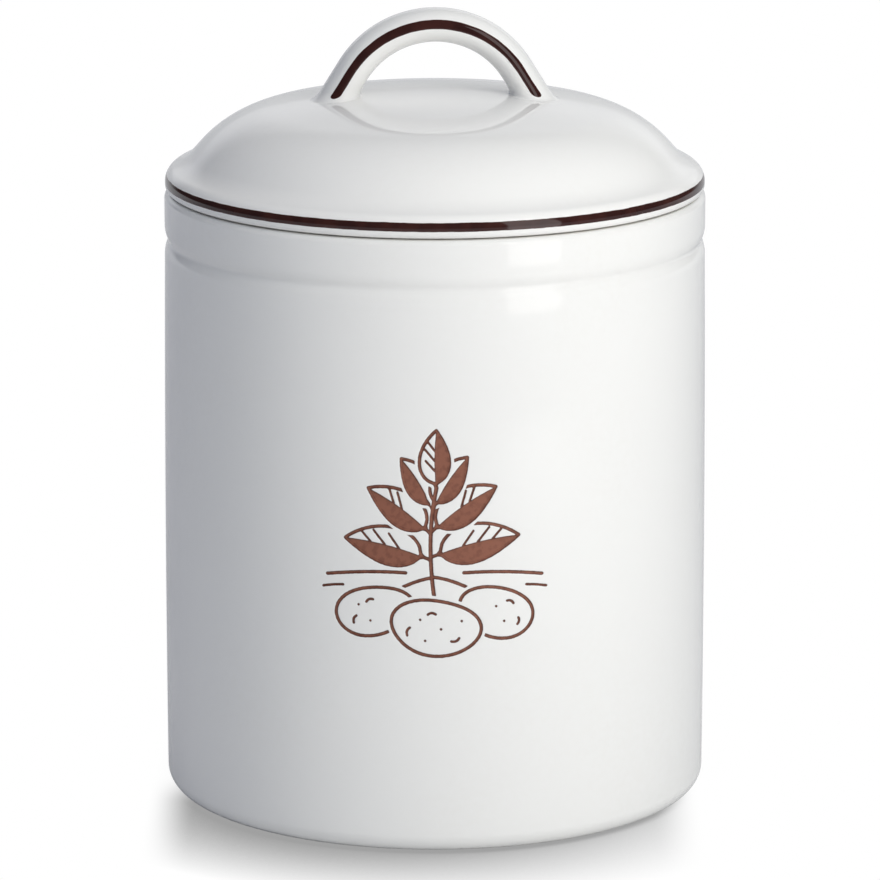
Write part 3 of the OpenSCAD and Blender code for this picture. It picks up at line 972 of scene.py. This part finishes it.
@dataclass
class Handle(Piece):
    """The strap: an arch on two leaning legs whose feet spread over the dome."""

    EDGE = "band_edge"
    SECTION = "section"
    ALONG = "along"

    dome: Dome = field(default_factory=Dome)
    arch_r: float = 33.6
    arch_sink: float = 10.1
    lean: float = 32.0
    strap_t: float = 11.8
    strap_w: float = 18.0
    spread: float = 2.0
    rise: float = 5.0
    turned: float = 3.0
    sunk: float = 0.04
    sides: int = 72
    arch_steps: int = 120
    leg_steps: int = 8
    foot_steps: int = 14
    band_w: float = 3.2
    band_w_leg: float = 2.8
    band_out: float = 1.3
    band_stop: float = 1.5
    flank: float = 0.6

    @property
    def arch_c(self) -> np.ndarray:
        """Centre of the arch."""
        return np.array([0.0, self.dome.top - self.arch_sink])

    def line_r(self, section: float) -> float:
        """Radius at which a line of the strap passes over the arch's centre."""
        return self.arch_r + self.strap_t / 2 * math.cos(math.radians(section))

    def line_y(self, section: float) -> float:
        """How far a line of the strap lies behind its middle."""
        return self.strap_w / 2 * math.sin(math.radians(section))

    def leg_length(self, section: float) -> float:
        """Length of a line's straight run, from the dome up to the arch."""
        ahead = np.array([math.sin(math.radians(self.lean)), -math.cos(math.radians(self.lean))])
        start = self.arch_c + self.line_r(section) * direction(self.lean) - self.dome.crown_c
        down = float(start @ ahead)
        reach = down * down - float(start @ start) - self.line_y(section) ** 2 + self.dome.crown_r**2
        return -down - math.sqrt(reach)

    def on_dome(self, x: float, y: float) -> np.ndarray:
        """Point of the dome at a place, sunk a little into it."""
        level = self.dome.crown_c[1] + math.sqrt(self.dome.crown_r**2 - x * x - y * y)
        return np.array([x, y, level - self.sunk])

    def on_leg(self, section: float, up: float) -> np.ndarray:
        """Point of the right leg at a distance up from the dome along its line."""
        ahead = np.array([math.sin(math.radians(self.lean)), -math.cos(math.radians(self.lean))])
        start = self.arch_c + self.line_r(section) * direction(self.lean)
        place = start + (self.leg_length(section) - up) * ahead
        return np.array([place[0], self.line_y(section), place[1]])

    def in_foot(self, section: float, t: float) -> np.ndarray:
        """Point of the right foot, from its edge on the dome at 0 to the leg at 1."""
        root = self.on_leg(section, 0.0)
        out = direction(section) * self.spread
        edge = self.on_dome(root[0] + out[0], root[1] + out[1])
        return (1 - t) ** 2 * edge + 2 * t * (1 - t) * root + t * t * self.on_leg(section, self.rise)

    def rings(self, section: float) -> Iterator[tuple[float, np.ndarray]]:
        """Points of one line from the arch down the right leg to the foot's edge.

        Args:
            section: Place round the oval in degrees, 0 outside and 270 in front.

        Yields:
            The distance up from the dome, and the point.
        """
        top = self.leg_length(section)
        for i in range(1, self.leg_steps + 1):
            up = top + (self.rise - top) * i / self.leg_steps
            yield up, self.on_leg(section, up)
        for i in range(self.foot_steps - 1, -1, -1):
            t = i / self.foot_steps
            yield self.rise * t * t, self.in_foot(section, t)

    def arch(self) -> Shape:
        """Spins the oval section over the arch, and notes each point's place round the section."""
        select_none()
        bpy.ops.mesh.primitive_circle_add(vertices=self.sides, radius=1.0, location=(0.0, 0.0, 0.0))
        shape = bpy.context.active_object
        shape.name = self.name
        shape.data.name = self.name
        start_editing(shape)
        bpy.ops.mesh.select_all(action="SELECT")
        bpy.ops.transform.resize(value=(self.strap_t / 2 * MM, self.strap_w / 2 * MM, 1.0))
        edited = bmesh.from_edit_mesh(shape.data)
        section = edited.verts.layers.float.new(self.SECTION)
        along = edited.verts.layers.float.new(self.ALONG)
        start = self.arch_c + self.arch_r * direction(self.lean)
        outward = direction(self.lean)
        for vert in edited.verts:
            turned = math.atan2(vert.co.y / self.strap_w, vert.co.x / self.strap_t)
            vert[section] = math.degrees(turned) % FULL_TURN
            vert[along] = 0.0
            vert.co = Vector((
                start[0] * MM + outward[0] * vert.co.x,
                vert.co.y,
                start[1] * MM + outward[1] * vert.co.x,
            ))
        bmesh.update_edit_mesh(shape.data)
        bpy.ops.mesh.spin(
            steps=self.arch_steps,
            angle=math.radians(180.0 - 2 * self.lean),
            center=(0.0, 0.0, self.arch_c[1] * MM),
            axis=(0.0, 1.0, 0.0),
        )
        return shape

    def extend(self, shape: Shape, side: int) -> None:
        """Extrudes one end of the arch down its leg and out over its foot, and closes it.

        Args:
            shape: The handle, in edit mode.
            side: 1 for the right leg, -1 for the left.
        """
        lines = {}
        edited = bmesh.from_edit_mesh(shape.data)
        section = edited.verts.layers.float[self.SECTION]
        along = edited.verts.layers.float[self.ALONG]
        bpy.ops.mesh.select_all(action="DESELECT")
        for edge in edited.edges:
            if edge.is_boundary and edge.verts[0].co.x * side > 0:
                edge.select_set(True)
        bmesh.update_edit_mesh(shape.data)
        for vert in (v for v in edited.verts if v.select):
            lines[round(vert[section], 1)] = list(self.rings(vert[section]))
        for step in range(self.leg_steps + self.foot_steps):
            bpy.ops.mesh.extrude_region_move(TRANSFORM_OT_translate={"value": (0.0, 0.0, 0.0)})
            edited = bmesh.from_edit_mesh(shape.data)
            section = edited.verts.layers.float[self.SECTION]
            along = edited.verts.layers.float[self.ALONG]
            for vert in (v for v in edited.verts if v.select):
                up, place = lines[round(vert[section], 1)][step]
                vert[along] = up
                vert.co = Vector((side * place[0], place[1], place[2])) * MM
            bmesh.update_edit_mesh(shape.data)
        bpy.ops.mesh.edge_face_add()

    def measure(self, shape: Shape) -> None:
        """Works out each point's distance from the edge of the painted band."""
        places = positions(shape)
        sections = np.array([item.value for item in shape.data.attributes[self.SECTION].data])
        along = np.array([item.value for item in shape.data.attributes[self.ALONG].data])
        angle = np.degrees(np.arctan2(places[:, 2] - self.arch_c[1], np.abs(places[:, 0])))
        arched = angle > self.lean - 0.01
        legs = np.array([self.leg_length(section) for section in sections])
        radii = np.array([self.line_r(section) for section in sections])
        up = np.where(arched, legs + radii * np.radians(angle - self.lean), along)
        high = np.clip((angle - self.lean) / (90.0 - self.lean), 0.0, 1.0)
        out = self.strap_t / 2 * np.cos(np.radians(sections)) - self.band_out
        half = (self.band_w_leg + (self.band_w - self.band_w_leg) * high) / 2
        past = np.clip(self.band_stop + half - up, 0.0, None)
        edge = np.hypot(past, out) - half
        on_edge = np.abs(np.sin(np.radians(sections))) > self.flank
        note(shape, self.EDGE, np.where(on_edge, edge, self.strap_t))
        for name in (self.SECTION, self.ALONG):
            shape.data.attributes.remove(shape.data.attributes[name])

    def build(self, glaze: Glaze) -> Shape:
        """Spins, extends, turns, shades and dresses the handle."""
        shape = self.arch()
        for side in (1, -1):
            self.extend(shape, side)
        close_up()
        stop_editing()
        self.measure(shape)
        shape.data.transform(Matrix.Rotation(math.radians(self.turned), 4, "Z"))
        shade(shape, 60.0)
        return self.place(shape, glaze.for_handle(Recipe("handle_white_glaze")))


@dataclass
class Seal(Piece):
    """The soft ring in the spigot's groove, with two lips that lean up and out."""

    inner_r: float = 84.7
    outer_r: float = 86.2
    low: float = field(default_factory=lambda: foot_of("lid_seal"))
    high: float = field(default_factory=lambda: top_of("lid_seal"))
    reach: float = 1.5
    lip_t: float = 0.9
    tip_r: float = 0.22
    edge_r: float = 0.3
    steps: int = 240

    def outline(self) -> Outline:
        """The seal's section."""
        edge = self.edge_r
        made = Outline().arc((self.inner_r + edge, self.low + edge), edge, 180, 270, 4)
        made.arc((self.outer_r - edge, self.low + edge), edge, 270, 360, 4)
        for share in (1 / 8, 5 / 8):
            root = self.low + (self.high - self.low) * share
            made.point(self.outer_r, root)
            tip = (self.outer_r + self.reach - self.tip_r, root + self.reach + self.tip_r)
            made.arc(tip, self.tip_r, -60, 120, 6)
            made.point(self.outer_r, root + self.lip_t)
        made.arc((self.outer_r - edge, self.high - edge), edge, 0, 90, 4)
        made.arc((self.inner_r + edge, self.high - edge), edge, 90, 180, 4)
        return made.point(*made.points[0])

    def build(self, silicone: Silicone) -> Shape:
        """Turns, shades and dresses the seal."""
        shape = turn(self.name, self.outline(), self.steps)
        shade(shape, 40.0)
        return self.place(shape, silicone.material(Recipe("seal_silicone")))


@dataclass(frozen=True)
class Lamp:
    """A rectangular soft light that stands round the object and faces it, or only shows in its gloss."""

    name: str
    azimuth: float
    distance: float
    low: float
    high: float
    width: float
    radiance: float
    colour: Colour = (1.0, 1.0, 1.0)
    mirrored: bool = False

    def add(self) -> Shape:
        """Puts the light in the scene.

        Returns:
            Its object.
        """
        height = self.high - self.low
        light = bpy.data.lights.new(self.name, "AREA")
        light.shape = "RECTANGLE"
        light.size = self.width
        light.size_y = height
        light.energy = self.radiance * math.pi * self.width * height
        light.color = self.colour
        lamp = bpy.data.objects.new(self.name, light)
        bpy.context.scene.collection.objects.link(lamp)
        turned = math.radians(self.azimuth)
        lamp.location = (
            self.distance * math.sin(turned),
            -self.distance * math.cos(turned),
            (self.low + self.high) / 2,
        )
        lamp.rotation_euler = (math.radians(90.0), 0.0, turned)
        lamp.visible_camera = False
        lamp.visible_glossy = self.mirrored
        lamp.visible_diffuse = not self.mirrored
        return lamp


@dataclass(frozen=True)
class Glow:
    """A soft patch of light in the world: its colour, the way to its middle, and its edge's cosine."""

    colour: Colour
    way: Place
    edge: float = 0.75


@dataclass
class Studio:
    """The pale floor, the world, the soft light and the camera."""

    camera_place: Place = (0.0018, -1.9964, 0.5934)
    camera_tilt: float = 76.753
    lens: float = 237.12
    sensor: float = 36.0
    white: Colour = (1.0, 1.0, 1.0)
    fill: Colour = (0.0, 0.03, 0.13)
    above: Glow = Glow((1.32, 1.30, 1.265), (-0.09, 0.0, 0.996), 0.6)
    front: Glow = Glow((1.18, 1.23, 1.21), (0.09, -0.971, 0.22))
    side: Glow = Glow((0.40, 0.46, 0.48), (0.93, 0.3, 0.18))
    rear: Glow = Glow((2.30, 2.27, 2.20), (0.2, 0.97, 0.14))
    dark: Colour = (0.03, 0.033, 0.036)
    behind: Colour = (0.79, 0.80, 0.82)
    beyond: Colour = (0.62, 0.63, 0.65)
    floor_size: float = 14.0
    floor_grey: Colour = (0.68, 0.68, 0.685)
    shadow_reach: float = 0.05
    shadow_lean: Place = (0.52, 0.55, 0.78)
    shadow_depth: float = 0.98
    shadow_most: float = 0.66
    softbox: Lamp = Lamp(
        "softbox", azimuth=40.0, distance=0.8, low=0.058, high=1.10, width=0.316,
        radiance=4.88, colour=(1.0, 0.98, 0.935),
    )
    shine: Lamp = Lamp(
        "shine", azimuth=40.0, distance=0.79, low=0.059, high=1.09, width=0.312,
        radiance=1.6, colour=(1.0, 0.97, 0.95), mirrored=True,
    )

    def light(self) -> None:
        """Adds the softbox and its shine, and a world that fills in the shade and stands white behind."""
        self.softbox.add()
        self.shine.add()
        world = bpy.data.worlds.new("studio")
        world.use_nodes = True
        bpy.context.scene.world = world
        nodes = Nodes(world.node_tree)
        path = nodes.node("ShaderNodeLightPath")
        way = nodes.node("ShaderNodeTexCoord").outputs["Generated"]
        _, depth, height = nodes.split(way)
        raised = nodes.step(height, 0.13, 0.18, 0.72, 1.0)
        banded = nodes.math("MULTIPLY", raised, nodes.step(height, 0.25, 0.42, 1.0, 0.72))
        backdrop = nodes.math("MULTIPLY", nodes.step(depth, 0.75, 0.92), banded)
        mirrored = nodes.blend(backdrop, self.dark, self.behind)
        soft = self.fill
        for glow in (self.above, self.front, self.side, self.rear):
            towards = nodes.node("ShaderNodeVectorMath", operation="DOT_PRODUCT")
            nodes.join(way, towards.inputs[0])
            towards.inputs[1].default_value = glow.way
            soft = nodes.blend(nodes.step(towards.outputs["Value"], glow.edge, 1.0), soft, glow.colour)
        lit = nodes.blend(path.outputs["Is Glossy Ray"], soft, mirrored)
        seen = nodes.math("MAXIMUM", path.outputs["Is Camera Ray"], path.outputs["Is Transmission Ray"])
        nodes.join(nodes.blend(seen, lit, self.white), nodes.tree.nodes["Background"].inputs["Color"])

    def lay_floor(self) -> None:
        """Lays the floor: white to the camera but for the soft shadow round the foot."""
        select_none()
        bpy.ops.mesh.primitive_plane_add(size=self.floor_size, location=(0.0, 0.0, 0.0))
        floor = bpy.context.active_object
        floor.name = "studio_floor"
        material = bpy.data.materials.new("studio_floor")
        material.use_nodes = True
        nodes = Nodes(material.node_tree)
        nodes.tree.nodes.clear()
        lean = nodes.node("ShaderNodeCombineXYZ")
        for part, target in zip(self.shadow_lean, lean.inputs):
            nodes.join(part, target)
        shade = nodes.node("ShaderNodeAmbientOcclusion", samples=16)
        nodes.join(self.shadow_reach, shade.inputs["Distance"])
        nodes.join(lean.outputs[0], shade.inputs["Normal"])
        place = nodes.split(nodes.node("ShaderNodeTexCoord").outputs["Object"])
        covered = nodes.math("MINIMUM", nodes.math("SUBTRACT", 1.0, shade.outputs["AO"]), self.shadow_most)
        ahead = nodes.step(place[1], 0.0, -0.035, 0.15 * self.shadow_depth, self.shadow_depth)
        aside = nodes.math("ABSOLUTE", nodes.math("ADD", place[0], 0.004))
        ahead = nodes.math("MULTIPLY", ahead, nodes.step(aside, 0.098, 0.080))
        open_share = nodes.math("SUBTRACT", 1.0, nodes.math("MULTIPLY", covered, ahead))
        seen = nodes.node("ShaderNodeEmission")
        nodes.join(nodes.blend(open_share, (0.0, 0.0, 0.0), self.white), seen.inputs["Color"])
        plain = nodes.node("ShaderNodeBsdfDiffuse")
        nodes.join(self.floor_grey, plain.inputs["Color"])
        far = nodes.node("ShaderNodeEmission")
        nodes.join(self.beyond, far.inputs["Color"])
        path = nodes.node("ShaderNodeLightPath")
        back = nodes.step(place[1], 0.5, 1.3)
        mirrored = nodes.node("ShaderNodeMixShader")
        for value, target in zip(
            (nodes.math("MULTIPLY", path.outputs["Is Glossy Ray"], back), plain.outputs[0], far.outputs[0]),
            mirrored.inputs,
        ):
            nodes.join(value, target)
        direct = nodes.math("MAXIMUM", path.outputs["Is Camera Ray"], path.outputs["Is Transmission Ray"])
        mixed = nodes.node("ShaderNodeMixShader")
        for value, target in zip((direct, mirrored.outputs[0], seen.outputs[0]), mixed.inputs):
            nodes.join(value, target)
        nodes.join(mixed.outputs[0], nodes.node("ShaderNodeOutputMaterial").inputs["Surface"])
        floor.data.materials.append(material)

    def aim(self) -> None:
        """Sets up the camera at the photographed angle."""
        data = bpy.data.cameras.new("camera")
        data.sensor_fit = "HORIZONTAL"
        data.sensor_width = self.sensor
        data.lens = self.lens
        data.clip_end = 100.0
        camera = bpy.data.objects.new("camera", data)
        camera.location = self.camera_place
        camera.rotation_euler = (math.radians(self.camera_tilt), 0.0, 0.0)
        bpy.context.scene.collection.objects.link(camera)
        bpy.context.scene.camera = camera

    def build(self) -> None:
        """Sets up the whole studio."""
        bpy.context.scene.view_settings.view_transform = "Standard"
        self.light()
        self.lay_floor()
        self.aim()


def main() -> None:
    """Builds the crock in its studio."""
    logging.basicConfig(level=logging.INFO, format="%(name)s: %(message)s")
    Studio().build()
    glaze = Glaze()
    Jar("crock_jar", Body.JAR, "jar", Slot.JAR).build(glaze)
    Lid("domed_lid", Body.LID, "lid", Slot.LID).build(glaze)
    Handle("strap_handle", Body.LID, "lid_handle", Slot.HANDLE).build(glaze)
    Seal("lip_seal", Body.SEAL, "lid_seal", Slot.SEAL).build(Silicone())


if __name__ == "__main__":
    main()
